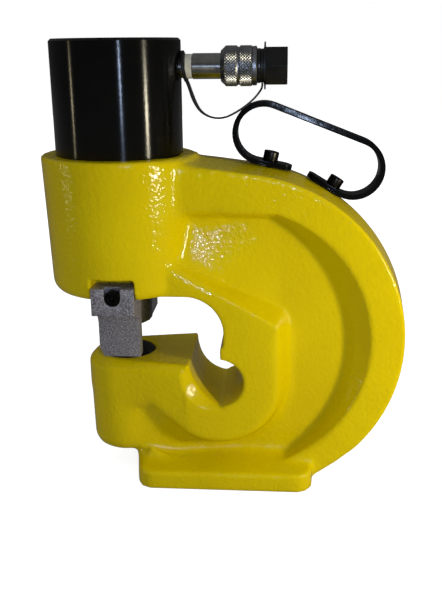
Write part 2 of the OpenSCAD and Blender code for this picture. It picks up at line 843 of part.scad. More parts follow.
// One face of the bent bar, from the front foot round the loop to the rear foot. t is 0 outside.
function bar_face(t) = concat(
    [band_point(front_foot_angle, front_end, foot_seat_r + t)],
    arc(front_centre, loop_r - t, 270 - front_foot_angle, 90 + bar_angle, 24),
    arc(rear_centre, loop_r - t, 90 + bar_angle, -90 - rear_foot_angle, 24),
    [band_point(rear_foot_angle, rear_end, foot_seat_r + t)]);

function reversed(v) = [for (i = [len(v) - 1 : -1 : 0]) v[i]];

// What is cut from a foot's free end to round it. dir is the way the foot points.
module foot_trim(end_x, dir) {
    height = strap_t + 2 * cut;
    translate([end_x - dir * foot_round_r, 0, -cut]) difference() {
        translate([dir > 0 ? 0 : -2 * foot_round_r, -strap_w, 0]) cube([2 * foot_round_r, 2 * strap_w, height]);
        translate([0, 0, -cut]) cylinder(r = foot_round_r, h = height + 2 * cut);
    }
}

// Open loop of flat bar: two feet with round ends on the band, two bends and the straight grip.
module carry_handle() {
    color("#141414") at_punch() difference() {
        across(strap_w) polygon(concat(bar_face(0), reversed(bar_face(strap_t))));
        on_band(front_foot_angle) {
            foot_trim(front_end, 1);
            translate([front_screw_x, 0, -cut]) cylinder(r = m8_r + bore_clear, h = strap_t + 2 * cut);
        }
        on_band(rear_foot_angle) {
            foot_trim(rear_end, -1);
            translate([rear_screw_x, 0, -cut]) cylinder(r = m8_r + bore_clear, h = strap_t + 2 * cut);
        }
    }
}

module handle_screws() {
    shank = strap_t + handle_thread_l;
    color("#1a1a1a") at_punch() {
        on_band(front_foot_angle) translate([front_screw_x, 0, strap_t + 2 * seat_gap]) cap_screw(shank);
        on_band(rear_foot_angle) translate([rear_screw_x, 0, strap_t + 2 * seat_gap]) cap_screw(shank);
    }
}

// Coupler and dust cap

module port_nipple() {
    color("lightgray") at_punch() difference() {
        union() {
            along_port(barrel_r - nipple_in + seat_gap) cylinder(r = nipple_r, h = nipple_in + body_x - barrel_r + 8);
            along_port(eye_x) cylinder(r = nipple_hub_r, h = body_x - eye_x - seat_gap);
        }
        along_port(barrel_r - nipple_in - cut) cylinder(r = nipple_bore_r, h = 4 * nipple_in);
    }
}

module thread_tape() {
    color("cornsilk") at_punch() along_port(tape_x + seat_gap)
        ring(tape_r, nipple_hub_r + seat_gap, tape_l - 3 * seat_gap);
}

// Moulded eye of the tether round the nipple, with a short tail below it.
module tether_eye() {
    color("#141414") at_punch() along_port(eye_x + seat_gap)
        ring(eye_r, nipple_hub_r + seat_gap, eye_t - seat_gap);
}

// Coupler body: plain sleeve, stepped head inside the collar, valve bore and socket.
module coupler_body() {
    color("gainsboro") at_punch() difference() {
        union() {
            along_port(body_x) cylinder(r = coupler_d / 2, h = body_head_x - body_x);
            along_port(body_head_x - body_shoulder) cylinder(r1 = coupler_d / 2, r2 = body_head_r, h = body_shoulder);
            along_port(body_head_x) cylinder(r = body_head_r, h = body_end_x - body_head_x);
        }
        along_port(body_x - cut) cylinder(r = nipple_r + seat_gap, h = 8 + cut + 2 * seat_gap);
        along_port(body_x) cylinder(r = nipple_bore_r, h = valve_x - body_x + cut);
        along_port(valve_x) cylinder(r = valve_r, h = body_end_x - valve_x);
        along_port(body_end_x - socket_l) cylinder(r = socket_r, h = socket_l + cut);
        along_port(seal_groove_x - seal_tube_r - seat_gap)
            cylinder(r = seal_centre_r + seal_tube_r + seat_gap, h = 2 * (seal_tube_r + seat_gap));
    }
}

// Knurled locking collar: a turned sleeve with a bevelled shoulder, a groove and a plain end ring.
module coupler_collar() {
    inner_r = body_head_r + free_gap;
    neck_r = coupler_d / 2 + free_gap;
    shoulder_x = body_head_x - body_shoulder - collar_x - free_gap;
    color("silver") at_punch() along_port(collar_x) difference() {
        rotate_extrude()
            polygon([[neck_r, 0], [collar_r - collar_bevel, 0], [collar_r, collar_bevel],
                [collar_r, collar_groove_x], [collar_r - 1, collar_groove_x],
                [collar_r - 1, collar_groove_x + collar_groove_w], [collar_r, collar_groove_x + collar_groove_w],
                [collar_r, collar_ring_x], [collar_r - 0.8, collar_ring_x], [collar_r - 0.8, collar_l],
                [inner_r, collar_l], [inner_r, shoulder_x + body_shoulder], [neck_r, shoulder_x]]);
        translate([0, 0, -cut]) cylinder(r = neck_r, h = 2 * cut);
    }
}

// Wire clip inside the collar that keeps it on the body.
module collar_clip() {
    color("gray") at_punch() along_port(clip_x) ring(body_head_r + free_gap - seat_gap, socket_r + 1, clip_t);
}

module coupler_seal() {
    color("black") at_punch() along_port(seal_groove_x)
        rotate_extrude() translate([seal_centre_r, 0]) circle(r = seal_tube_r, $fn = 24);
}

// Valve poppet: a coned head on a guide stem.
module coupler_poppet() {
    color("silver") at_punch() along_port(poppet_x) {
        rotate_extrude()
            polygon([[0, 0], [poppet_r, 0], [poppet_r, poppet_l / 2], [poppet_r / 2, poppet_l], [0, poppet_l]]);
        translate([0, 0, -poppet_rod_l]) cylinder(r = poppet_rod_r, h = poppet_rod_l + thin);
    }
}

module poppet_spring() {
    lift = poppet_wire / 2 + free_gap;
    run = poppet_x - valve_x - 2 * lift;
    mean_r = (poppet_rod_r + valve_r) / 2;
    coil = [for (p = helix(mean_r, run, poppet_turns, spring_rings)) p + [0, 0, lift]];
    echo(str("poppet_spring least gap to itself, mm: ", least_gap(coil, poppet_wire, spring_rings / 2)));
    color("gray") at_punch() along_port(valve_x) tube(coil, poppet_wire / 2, spring_sides, [0, 0, 1]);
}

// Dust cap: plug in the coupler's socket, flange, neck for the tether's ring and a hexagon grip.
module dust_cap() {
    color("#121212") at_punch() {
        along_port(cap_flange_x - cap_plug_l) cylinder(r = cap_plug_r, h = cap_plug_l + thin);
        along_port(cap_flange_x) cylinder(r = cap_flange_r, h = cap_flange_t);
        along_port(cap_flange_x) cylinder(r = cap_neck_r, h = cap_hex_x - cap_flange_x + thin);
        along_port(cap_hex_x) intersection() {
            rotate(90) cylinder(r = cap_af / sqrt(3), h = cap_l, $fn = 6);
            rotate_extrude()
                polygon([[0, 0], [cap_af / sqrt(3) - cap_chamfer, 0], [cap_af / sqrt(3), cap_chamfer],
                    [cap_af / sqrt(3), cap_l - cap_chamfer], [cap_af / sqrt(3) - cap_chamfer, cap_l], [0, cap_l]]);
        }
    }
}

module cap_ring() {
    color("#141414") at_punch() along_port(ring_x) ring(ring_r, cap_neck_r + free_gap, ring_t);
}

module cap_tether() {
    color("#141414") at_punch() tube(tether_route, tether_d / 2, tether_sides, [0, 1, 0]);
}

frame_casting();
barrel();
piston();
piston_seal();
guide_ring();
ram_rod();
return_spring();
guide_bush();
rod_wiper();
punch_nut();
punch();
die();
die_lock_screw();
stripper_near();
stripper_far();
stripper_screws();
carry_handle();
handle_screws();
port_nipple();
thread_tape();
tether_eye();
coupler_body();
coupler_collar();
collar_clip();
coupler_seal();
coupler_poppet();
poppet_spring();
dust_cap();
cap_ring();
cap_tether();
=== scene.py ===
"""Looks of a hydraulic hole punch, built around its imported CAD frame. Lengths are in metres, except where a name or a
comment says mm. Places in mm are counted from the punch axis along X."""
import json
import math

import bpy
from mathutils import Matrix, Vector


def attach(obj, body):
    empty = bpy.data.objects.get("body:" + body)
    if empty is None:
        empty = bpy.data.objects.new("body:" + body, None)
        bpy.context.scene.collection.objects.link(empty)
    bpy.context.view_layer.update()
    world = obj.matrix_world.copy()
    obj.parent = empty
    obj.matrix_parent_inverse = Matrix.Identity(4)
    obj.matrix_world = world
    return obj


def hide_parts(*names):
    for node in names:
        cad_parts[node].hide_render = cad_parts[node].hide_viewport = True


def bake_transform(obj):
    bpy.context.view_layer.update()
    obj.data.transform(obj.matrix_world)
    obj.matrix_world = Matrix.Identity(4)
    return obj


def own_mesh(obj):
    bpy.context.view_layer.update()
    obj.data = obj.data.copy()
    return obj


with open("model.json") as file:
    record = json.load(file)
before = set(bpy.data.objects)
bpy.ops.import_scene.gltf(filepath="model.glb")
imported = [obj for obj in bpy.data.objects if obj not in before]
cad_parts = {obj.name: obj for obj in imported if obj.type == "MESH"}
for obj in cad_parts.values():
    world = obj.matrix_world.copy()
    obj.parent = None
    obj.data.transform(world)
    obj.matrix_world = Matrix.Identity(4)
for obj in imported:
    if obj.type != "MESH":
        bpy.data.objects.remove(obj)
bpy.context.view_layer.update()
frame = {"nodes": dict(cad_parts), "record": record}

MM = 0.001
PUNCH_X = -92.5 * MM            # the punch axis stands this far in front of the base's middle
PORT_Z = 364.2 * MM             # height of the coupler's axis

body_of_node = {n: b for b, nodes in frame["record"]["behaviour"]["bodies"].items() for n in nodes}


# Helpers for shapes

POINTS, EDGES, FACES = (True, False, False), (False, True, False), (False, False, True)
CAD_MERGE = 0.002 * MM          # points of a CAD mesh that lie closer than this are one point
NEW_MERGE = 0.001 * MM          # the same for new pieces
FLAT_DEGREES = 1.2              # CAD faces that meet at less than this become one face


def deselect_all():
    if bpy.context.object and bpy.context.object.mode != "OBJECT":
        bpy.ops.object.mode_set(mode="OBJECT")
    bpy.ops.object.select_all(action="DESELECT")


def make_active(obj):
    deselect_all()
    obj.select_set(True)
    bpy.context.view_layer.objects.active = obj
    return obj


def edit_chosen(obj, kind=POINTS):
    """Opens a piece for an edit of the points, edges or faces that are selected on its mesh."""
    bpy.context.tool_settings.mesh_select_mode = kind
    make_active(obj)
    bpy.ops.object.mode_set(mode="EDIT")


def edit(obj, select="SELECT"):
    edit_chosen(obj)
    bpy.ops.mesh.select_all(action=select)


def leave_edit():
    bpy.ops.object.mode_set(mode="OBJECT")


def clean_up(merge):
    """In edit mode, merges doubled points and turns all normals outward."""
    bpy.ops.mesh.remove_doubles(threshold=merge)
    bpy.ops.mesh.normals_make_consistent(inside=False)


def apply_modifier(obj, kind, **settings):
    make_active(obj)
    mod = obj.modifiers.new(kind.title(), kind)
    for key, value in settings.items():
        setattr(mod, key, value)
    bpy.ops.object.modifier_apply(modifier=mod.name)


def bake_place(obj):
    make_active(obj)
    bpy.ops.object.transform_apply(location=True, rotation=True, scale=True)
    return obj


def smooth(obj, degrees=35):
    make_active(obj)
    bpy.ops.object.shade_smooth_by_angle(angle=math.radians(degrees))


def at_punch(x, z):
    """A point on the tool's middle plane, in mm from the punch axis and the floor."""
    return Vector((PUNCH_X + x * MM, 0, z * MM))


def node_copy(node, name):
    """A merged copy of a CAD node's mesh, ready to be shaped."""
    copy = bpy.data.objects.new(name, frame["nodes"][node].data.copy())
    bpy.context.scene.collection.objects.link(copy)
    edit(copy)
    bpy.ops.mesh.remove_doubles(threshold=CAD_MERGE)
    leave_edit()
    return copy


def paint(obj, material):
    obj.data.materials.clear()
    obj.data.materials.append(material)


def finish_piece(obj, node, material):
    """Puts a piece in a CAD node's place, with its material and body."""
    paint(obj, material)
    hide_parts(node)
    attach(obj, body_of_node[node])


def eased_copy(node, material, edge_mm, segments=3, angle=28):
    """A CAD node with its edges broken by a small radius, as a machined part has."""
    piece = node_copy(node, node + "_piece")
    edit(piece)
    bpy.ops.mesh.dissolve_limited(angle_limit=math.radians(FLAT_DEGREES))
    leave_edit()
    apply_modifier(piece, "BEVEL", width=edge_mm * MM, segments=segments, limit_method="ANGLE",
                   angle_limit=math.radians(angle))
    smooth(piece)
    finish_piece(piece, node, material)


def turned(name, profile, segments=64):
    """A lathe-turned piece along Z: a circle drawn out ring by ring, from (height, radius) pairs in mm."""
    deselect_all()
    height, radius = profile[0]
    bpy.ops.mesh.primitive_circle_add(vertices=segments, radius=radius * MM, location=(0, 0, height * MM))
    piece = bake_place(bpy.context.object)
    piece.name = name
    edit(piece)
    for (height, radius), (next_height, next_radius) in zip(profile, profile[1:]):
        bpy.ops.mesh.extrude_region_move(TRANSFORM_OT_translate={"value": (0, 0, (next_height - height) * MM)})
        grow = next_radius / radius
        bpy.ops.transform.resize(value=(grow, grow, 1), center_override=(0, 0, next_height * MM))
    bpy.ops.mesh.select_all(action="SELECT")
    clean_up(NEW_MERGE)
    leave_edit()
    return piece


def along_port(piece, x_mm, lean=0):
    """Lays a piece that was turned along Z on the coupler's axis, x_mm from the punch axis."""
    piece.rotation_euler = (0, math.pi / 2 + math.radians(lean), 0)
    piece.location = (PUNCH_X + x_mm * MM, 0, PORT_Z)
    return bake_place(piece)


def select_faces(obj, test):
    for face in obj.data.polygons:
        face.select = test(face.center)
    for edge in obj.data.edges:
        edge.select = False
    for vert in obj.data.vertices:
        vert.select = False


def select_points(obj, test):
    edit(obj, "DESELECT")
    leave_edit()
    for vert in obj.data.vertices:
        vert.select = test(vert.co)


def wire(name, points, radius, sides=2, swell=()):
    """A round wire or cord along points: a curve with a round section, made a mesh. swell makes its first points
    that many times as thick."""
    curve = bpy.data.curves.new(name, "CURVE")
    curve.dimensions = "3D"
    spline = curve.splines.new("POLY")
    spline.points.add(len(points) - 1)
    for knot, place in zip(spline.points, points):
        knot.co = (*place, 1)
    for knot, times in zip(spline.points, swell):
        knot.radius = times
    curve.bevel_depth = radius
    curve.bevel_resolution = sides
    curve.use_fill_caps = True
    obj = bpy.data.objects.new(name, curve)
    bpy.context.scene.collection.objects.link(obj)
    make_active(obj)
    bpy.ops.object.convert(target="MESH")
    obj = bpy.context.object
    edit(obj)
    clean_up(NEW_MERGE)
    leave_edit()
    smooth(obj, 50)
    return obj


def helix(radius, start, end, turns, steps=20):
    """Points of a coil round Z, from one height to another."""
    count = turns * steps
    return [Vector((radius * math.cos(2 * math.pi * i / steps), radius * math.sin(2 * math.pi * i / steps),
                    start + (end - start) * i / count)) for i in range(count + 1)]


def rounded_route(points, steps=2):
    """A smooth route through points (Catmull-Rom), with steps parts between each two."""
    ends = [2 * points[0] - points[1], *points, 2 * points[-1] - points[-2]]
    route = []
    for a, b, c, d in zip(ends, ends[1:], ends[2:], ends[3:]):
        for i in range(steps):
            t = i / steps
            route.append(0.5 * (2 * b + (c - a) * t + (2 * a - 5 * b + 4 * c - d) * t ** 2
                                + (3 * b - a - 3 * c + d) * t ** 3))
    return route + [points[-1]]


# Helpers for materials

def hex_color(code):
    """sRGB hex to the linear colour that a shader takes."""
    channels = [int(code[i:i + 2], 16) / 255 for i in (1, 3, 5)]
    linear = [c / 12.92 if c <= 0.04045 else ((c + 0.055) / 1.055) ** 2.4 for c in channels]
    return (*linear, 1.0)


def add(tree, kind, links=None, **settings):
    """Adds a node; settings go to its sockets by name or to its properties, links name sockets it reads."""
    node = tree.nodes.new(kind)
    for key, value in settings.items():
        label = key.replace("_", " ")
        socket = next((s for s in node.inputs if s.name.lower() == label.lower() and s.enabled), None)
        if hasattr(node, key) and socket is None:
            setattr(node, key, value)
        elif socket is not None:
            socket.default_value = value
        else:
            raise ValueError(f"{kind} has no {key}")
    for name, (other, output) in (links or {}).items():
        tree.links.new(other.outputs[output], node.inputs[name])
    return node


def new_material(name, **settings):
    """A material with a Principled shader, whose even values are set on its own sockets."""
    material = bpy.data.materials.new(name)
    material.use_nodes = True
    tree = material.node_tree
    tree.nodes.clear()
    shader = add(tree, "ShaderNodeBsdfPrincipled", **settings)
    add(tree, "ShaderNodeOutputMaterial", {"Surface": (shader, "BSDF")})
    place = add(tree, "ShaderNodeTexCoord")
    return material, tree, shader, place


def noise_of(tree, place, size_mm, detail):
    """Noise in the piece's own place, with features about size_mm apart."""
    return add(tree, "ShaderNodeTexNoise", {"Vector": (place, "Object")}, Scale=1 / (size_mm * MM), Detail=detail)


def tone_drift(tree, shader, place, size_mm, codes, detail=4.0):
    """Lets the colour drift between two tones in patches of about size_mm."""
    drift = noise_of(tree, place, size_mm, detail)
    tone = add(tree, "ShaderNodeValToRGB", {"Fac": (drift, "Fac")})
    for stop, position, code in zip(tone.color_ramp.elements, (0.3, 0.7), codes):
        stop.position = position
        stop.color = hex_color(code)
    tree.links.new(tone.outputs["Color"], shader.inputs["Base Color"])


def relief(tree, shader, place, layers):
    """Stacks noise bumps on a shader, each layer given as (size in mm, strength, depth in mm)."""
    last = None
    for size_mm, strength, depth_mm in layers:
        links = {"Height": (noise_of(tree, place, size_mm, 2.0), "Fac")}
        if last:
            links["Normal"] = (last, "Normal")
        last = add(tree, "ShaderNodeBump", links, Strength=strength, Distance=depth_mm * MM)
    tree.links.new(last.outputs["Normal"], shader.inputs["Normal"])


# Materials

ROUND_MARKS = 0.25              # quarter turn, so that marks run round a piece and draw a light out along it


def yellow_enamel():
    """Glossy alkyd enamel over a sand casting: the cast grain shows through as low lumps, which break each highlight
    into sparks."""
    material, tree, shader, place = new_material("yellow_enamel", Roughness=0.1, Specular_IOR_Level=0.3)
    tone_drift(tree, shader, place, 60, ("#CCB400", "#D4BD00"), detail=3.0)
    relief(tree, shader, place, [(22, 0.5, 0.7), (3.6, 1.0, 0.55), (2.2, 1.0, 0.14)])
    return material


def barrel_enamel():
    """Thin black enamel on turned steel: the turning marks run round the barrel and draw each light out into a streak
    along it."""
    material, tree, shader, place = new_material("barrel_enamel", Roughness=0.22, Specular_IOR_Level=0.35,
                                                 Anisotropic=1.0, Anisotropic_Rotation=ROUND_MARKS)
    tone_drift(tree, shader, place, 35, ("#060606", "#0B0B09"))
    relief(tree, shader, place, [(3, 0.3, 0.1)])
    return material


def handle_enamel():
    """Thick black stove enamel on bent bar: deep gloss with a faint orange peel."""
    material, tree, shader, place = new_material("handle_enamel", Roughness=0.16, Specular_IOR_Level=0.13)
    tone_drift(tree, shader, place, 35, ("#070708", "#0D0D0E"))
    relief(tree, shader, place, [(6, 0.5, 0.3)])
    return material


def blasted_steel():
    """Grit-blasted tool steel: grey metal whose facets sparkle. The grit is drawn coarse, so that it shows."""
    material, tree, shader, place = new_material("blasted_steel", Metallic=0.5, Roughness=0.38)
    tone_drift(tree, shader, place, 1.5, ("#6A666C", "#B4B0B4"), detail=2.0)
    relief(tree, shader, place, [(1.6, 1.0, 0.8)])
    return material


def turned_chrome():
    """Plated fitting whose fine turning marks run round the coupler and spread each light along it."""
    material, tree, shader, place = new_material("bright_chrome", Metallic=1.0, Roughness=0.3, Anisotropic=0.9,
                                                 Anisotropic_Rotation=ROUND_MARKS)
    tone_drift(tree, shader, place, 6, ("#A2A2A0", "#C4C4C2"))
    around = add(tree, "ShaderNodeTangent", direction_type="RADIAL", axis="X")
    tree.links.new(around.outputs["Tangent"], shader.inputs["Tangent"])
    return material


def metal(name, codes, roughness, smear_mm):
    """Plain metal, plated, ground or oiled: its tone and its shine smear a little."""
    material, tree, shader, place = new_material(name, Metallic=1.0, Roughness=roughness)
    tone_drift(tree, shader, place, smear_mm, codes)
    relief(tree, shader, place, [(smear_mm, 0.1, 0.05)])
    return material


def moulded(name, codes, roughness, grain_mm):
    """Moulded polymer: even colour with a faint flow drift and a fine skin."""
    material, tree, shader, place = new_material(name, Roughness=roughness)
    tone_drift(tree, shader, place, 9, codes, detail=3.0)
    relief(tree, shader, place, [(grain_mm, 0.2, 0.1)])
    return material


ENAMEL = yellow_enamel()
BARREL_BLACK = barrel_enamel()
HANDLE_BLACK = handle_enamel()
BLASTED = blasted_steel()
CHROME = turned_chrome()
KNURLED = metal("knurled_chrome", ("#8C8E92", "#AEB0B4"), 0.37, 6)
GROUND = metal("ground_steel", ("#7C7D80", "#9A9B9E"), 0.3, 5)
HARD_CHROME = metal("hard_chrome", ("#9C9CA0", "#B8B8BC"), 0.12, 8)
SPRING = metal("oiled_spring_wire", ("#4A4A4C", "#626264"), 0.35, 5)
BRONZE = metal("bearing_bronze", ("#8A6A34", "#A8854A"), 0.35, 6)
BLACK_OXIDE = metal("black_oxide_steel", ("#201F1D", "#34322E"), 0.3, 5)
WORN_OXIDE = metal("worn_black_oxide", ("#4C4A48", "#6C6A68"), 0.4, 4)
RUBBER = moulded("nitrile_rubber", ("#0B0B0B", "#141414"), 0.5, 1.2)
CAP_BLACK = moulded("moulded_cap", ("#0A0A0B", "#131314"), 0.3, 1.0)
TAPE = moulded("thread_seal_tape", ("#B9B6A2", "#D2CFBD"), 0.7, 0.8)
RESIN = moulded("guide_resin", ("#5A3420", "#6B4028"), 0.6, 1.0)


# Camera, fitted to the photograph from the tool's own edges

CAMERA_MM = (46.085, -681.099, 379.64)
CAMERA_TURN, CAMERA_DIP, CAMERA_ROLL = 4.336, 17.521, -0.571        # degrees
FOCAL_PX, PHOTO_HEIGHT_PX = 785.103, 589
SENSOR_MM = 36


def photo_camera():
    turn, dip, roll = (math.radians(d) for d in (CAMERA_TURN, CAMERA_DIP, CAMERA_ROLL))
    ahead = Vector((-math.sin(turn) * math.cos(dip), math.cos(turn) * math.cos(dip), -math.sin(dip)))
    right = Vector((math.cos(turn), math.sin(turn), 0))
    up = right.cross(ahead)
    across = math.cos(roll) * right + math.sin(roll) * up
    above = -math.sin(roll) * right + math.cos(roll) * up
    camera = bpy.data.cameras.new("photo_camera")
    camera.sensor_width = SENSOR_MM
    camera.lens = FOCAL_PX * SENSOR_MM / PHOTO_HEIGHT_PX
    camera.clip_end = 20
    obj = bpy.data.objects.new("photo_camera", camera)
    obj.matrix_world = Matrix((across, above, -ahead)).transposed().to_4x4()
    obj.location = Vector(CAMERA_MM) * MM
    bpy.context.scene.collection.objects.link(obj)
    bpy.context.scene.camera = obj


photo_camera()


# Tether cord, from the eye on the nipple round under the coupler to the loop on the dust cap

TETHER_D = 1.7 * MM
TETHER_ROOT = [1.8] * 7 + [1.9, 1.95, 1.9, 1.8, 1.65, 1.5, 1.35, 1.2, 1.1]      # moulded root, in times TETHER_D
TETHER_ROUTE_MM = [(58.5, -8, 356.2), (60.8, -9, 353), (62.6, -9.8, 349), (64.2, -10.5, 344.5), (65.8, -11, 340),
                   (67.8, -11.5, 335.6), (71, -12, 330.2), (75.4, -12.3, 326.1), (80.7, -12.5, 323.6),
                   (87, -12.5, 322.6), (94.3, -12.5, 323.7), (102, -12.5, 327.4), (110, -12, 332.5),
                   (117, -10.5, 338.4), (121.3, -8, 343.5), (123.2, -4.2, 346.8), (123.5, -3, 350.4)]
route = rounded_route([Vector((PUNCH_X + x * MM, y * MM, z * MM)) for x, y, z in TETHER_ROUTE_MM])
tether = wire("tether_cord", route, TETHER_D / 2, sides=4, swell=TETHER_ROOT)
paint(tether, RUBBER)
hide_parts("cap_tether")
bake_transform(tether)


# Casting: blocks that fill its corners on both sides, then one cast skin over all. Values are in mm.

# The recess floor leans out below the housing: half its width at the web and there, and the block that makes the lean.
WEB_HALF, LEAN_HALF = 22, 42
LEAN_LOW, LEAN_HIGH = (54, 184), (140, 249)
LEAN_DROP = 42                  # how far the block's lower edge falls along the pad's bevel

# Scoop below the jaw's cheek: ends of its upper edge, half widths at that edge's front and rear and at its lower edge,
# its depth and how much shorter its lower edge is.
SCOOP_UPPER, SCOOP_LOWER = (14, 81), (74, 38)
SCOOP_HALF = (36, 43, 29)
SCOOP_DEPTH = 25
SCOOP_NARROW = 0.55

# Fill between lower jaw and base: half its width at the foot, and how much narrower it is at its top and at its rear.
ROOT_LOW, ROOT_HIGH = (12.5, 12), (84, 33)
ROOT_HALF = 42
ROOT_TOP, ROOT_REAR = 0.74, 0.63

# Places where the sand mould's edges ran soft: low and high corner, on both sides, and how soft they are.
SOFT_PLACES = [((54, 18, 186), (84, 60, 252), 1.0),         # recess to housing
               ((46, 18, 252), (72, 60, 300), 0.5),         # rim to housing
               ((18, 12, 17), (48, 48, 36), 1.0),           # front end of the base's fillet
               ((126, 16, 52), (152, 50, 138), 0.9),        # right edge of the pad
               ((-4, 30, 50), (46, 60, 88), 0.45),          # lower edge of the jaw's cheek
               ((6, 18, 22), (140, 60, 64), 0.4),           # underside of the jaw and of the pad
               ((8, 10, 12), (200, 50, 40), 0.4)]           # fillet between base and web
SOFT_FADE = 9

SKIN_VOXEL = 1.6
SKIN_ROUNDS, SOFT_ROUNDS = 6, 100       # rounds of smoothing all over and in the soft places
SKIN_KEPT = 0.5                         # share of the skin's faces that is kept
BLOCK_CUTS = 9


def block_at(centre, size, across=None):
    """A cube of that size and centre in metres, its sides along the rows of across."""
    deselect_all()
    bpy.ops.mesh.primitive_cube_add(size=1)
    block = bpy.context.object
    block.matrix_world = Matrix.Translation(centre) @ (across or Matrix.Identity(3)).transposed().to_4x4()
    block.scale = size
    return bake_place(block)


def widen(block, times, test):
    """Makes a block that many times as wide across the casting, at the corners that pass a test."""
    select_points(block, test)
    edit_chosen(block)
    bpy.ops.transform.resize(value=(1, times, 1), center_override=(0, 0, 0))
    leave_edit()


def join_block(casting, block):
    """Joins a block to the casting; the remesh then makes one skin of both."""
    edit(block)
    bpy.ops.mesh.subdivide(number_cuts=BLOCK_CUTS)
    bpy.ops.mesh.normals_make_consistent(inside=False)
    leave_edit()
    make_active(casting)
    block.select_set(True)
    bpy.ops.object.join()


def lean_floor(casting):
    """Fills the recess floor's corner below the housing, so that the floor leans back to the roof."""
    low, high = at_punch(*LEAN_LOW), at_punch(*LEAN_HIGH)
    middle = (low + high) / 2
    block = block_at(middle, (high.x - low.x, 2 * WEB_HALF * MM, high.z - low.z))
    widen(block, LEAN_HALF / WEB_HALF, lambda p: p.x < middle.x and p.z < middle.z)
    select_points(block, lambda p: p.x > middle.x and p.z < middle.z)
    edit_chosen(block)
    bpy.ops.transform.translate(value=(0, 0, -LEAN_DROP * MM))
    join_block(casting, block)


def scoop_cheek(casting):
    """Fills below the jaw's cheek, so that the cheek falls away slowly to the lower jaw."""
    upper, lower = at_punch(*SCOOP_UPPER), at_punch(*SCOOP_LOWER)
    along = (lower - upper).normalized()
    down = Vector((along.z, 0, -along.x))
    to_edge = down * SCOOP_DEPTH / 2 * MM
    middle = (upper + lower) / 2 + to_edge
    front_half, rear_half, low_half = SCOOP_HALF
    block = block_at(middle, ((lower - upper).length, 2 * rear_half * MM, SCOOP_DEPTH * MM),
                     Matrix((along, Vector((0, 1, 0)), down)))
    widen(block, front_half / rear_half, lambda p: (p - middle).dot(down) < 0 and (p - middle).dot(along) < 0)
    widen(block, low_half / rear_half, lambda p: (p - middle).dot(down) > 0)
    edit_chosen(block)
    bpy.ops.transform.resize(value=(SCOOP_NARROW, 1, SCOOP_NARROW), center_override=middle + to_edge)
    join_block(casting, block)


def root_jaw(casting):
    """Fills the corner between the lower jaw and the base."""
    low, high = at_punch(*ROOT_LOW), at_punch(*ROOT_HIGH)
    middle = (low + high) / 2
    block = block_at(middle, (high.x - low.x, 2 * ROOT_HALF * MM, high.z - low.z))
    widen(block, ROOT_TOP, lambda p: p.z > middle.z)
    widen(block, ROOT_REAR, lambda p: p.x > middle.x)
    join_block(casting, block)


def softness(point):
    """How soft the casting's edges are at a point, fading to 0 over SOFT_FADE outside the soft places."""
    p = ((point.x - PUNCH_X) / MM, abs(point.y) / MM, point.z / MM)
    weights = [0.0]
    for low, high, weight in SOFT_PLACES:
        outside = max(max(l - c, c - h, 0) for c, l, h in zip(p, low, high))
        weights.append(weight * max(0.0, 1 - outside / SOFT_FADE))
    return max(weights)


def soften(obj):
    group = obj.vertex_groups.new(name="soft_places")
    for vert in obj.data.vertices:
        weight = softness(vert.co)
        if weight > 0:
            group.add([vert.index], weight, "REPLACE")
    apply_modifier(obj, "SMOOTH", factor=0.5, iterations=SOFT_ROUNDS, vertex_group=group.name)
    obj.vertex_groups.clear()


frame_body = node_copy("frame_casting", "frame_body")
lean_floor(frame_body)
scoop_cheek(frame_body)
root_jaw(frame_body)
apply_modifier(frame_body, "REMESH", mode="VOXEL", voxel_size=SKIN_VOXEL * MM)
apply_modifier(frame_body, "SMOOTH", factor=0.5, iterations=SKIN_ROUNDS)
soften(frame_body)
apply_modifier(frame_body, "DECIMATE", ratio=SKIN_KEPT)
smooth(frame_body, 60)
finish_piece(frame_body, "frame_casting", ENAMEL)


# Pieces carried over with eased edges

eased_copy("barrel", BARREL_BLACK, 1.2)
eased_copy("carry_handle", HANDLE_BLACK, 1.6, segments=4, angle=40)
for screw_or_die in ("handle_screws", "stripper_screws", "die_lock_screw", "die"):
    eased_copy(screw_or_die, BLACK_OXIDE, 0.5)
eased_copy("punch_nut", WORN_OXIDE, 0.5)
for arm in ("stripper_near", "stripper_far"):
    eased_copy(arm, BLASTED, 0.8)
for fitting in ("port_nipple", "coupler_body"):
    eased_copy(fitting, CHROME, 0.5)
eased_copy("dust_cap", CAP_BLACK, 0.8)


# Coupler's knurled collar: two knurled bands with a groove between them. Values are in mm.

COLLAR_X, COLLAR_SIDES = 89, 42
BAND_R, BAND_ROWS, BAND_STEP = 15.9, 5, 2.4
BAND_STARTS = (4, 16)
KNURL_INSIDE, KNURL_PEAK = 15, 0.78


def band(start):
    return [(start + BAND_STEP * i, BAND_R) for i in range(BAND_ROWS)]


def knurl(piece, low_mm, high_mm):
    """Presses a diamond knurl into the outer faces of a piece turned along Z, between two heights."""
    def in_zone(p):
        return low_mm * MM < p.z < high_mm * MM and math.hypot(p.x, p.y) > KNURL_INSIDE * MM

    old_count = len(piece.data.vertices)
    select_faces(piece, in_zone)
    edit_chosen(piece, FACES)
    bpy.ops.mesh.poke()
    leave_edit()
    # The old square edges go, which leaves diamonds between the new points.
    select_faces(piece, lambda p: False)
    points = piece.data.vertices
    for edge in piece.data.edges:
        a, b = edge.vertices
        edge.select = a < old_count and b < old_count and in_zone((points[a].co + points[b].co) / 2)
    edit_chosen(piece, EDGES)
    bpy.ops.mesh.dissolve_edges(use_verts=False)
    leave_edit()
    select_faces(piece, in_zone)
    edit_chosen(piece, FACES)
    bpy.ops.mesh.poke(offset=KNURL_PEAK * MM)
    leave_edit()


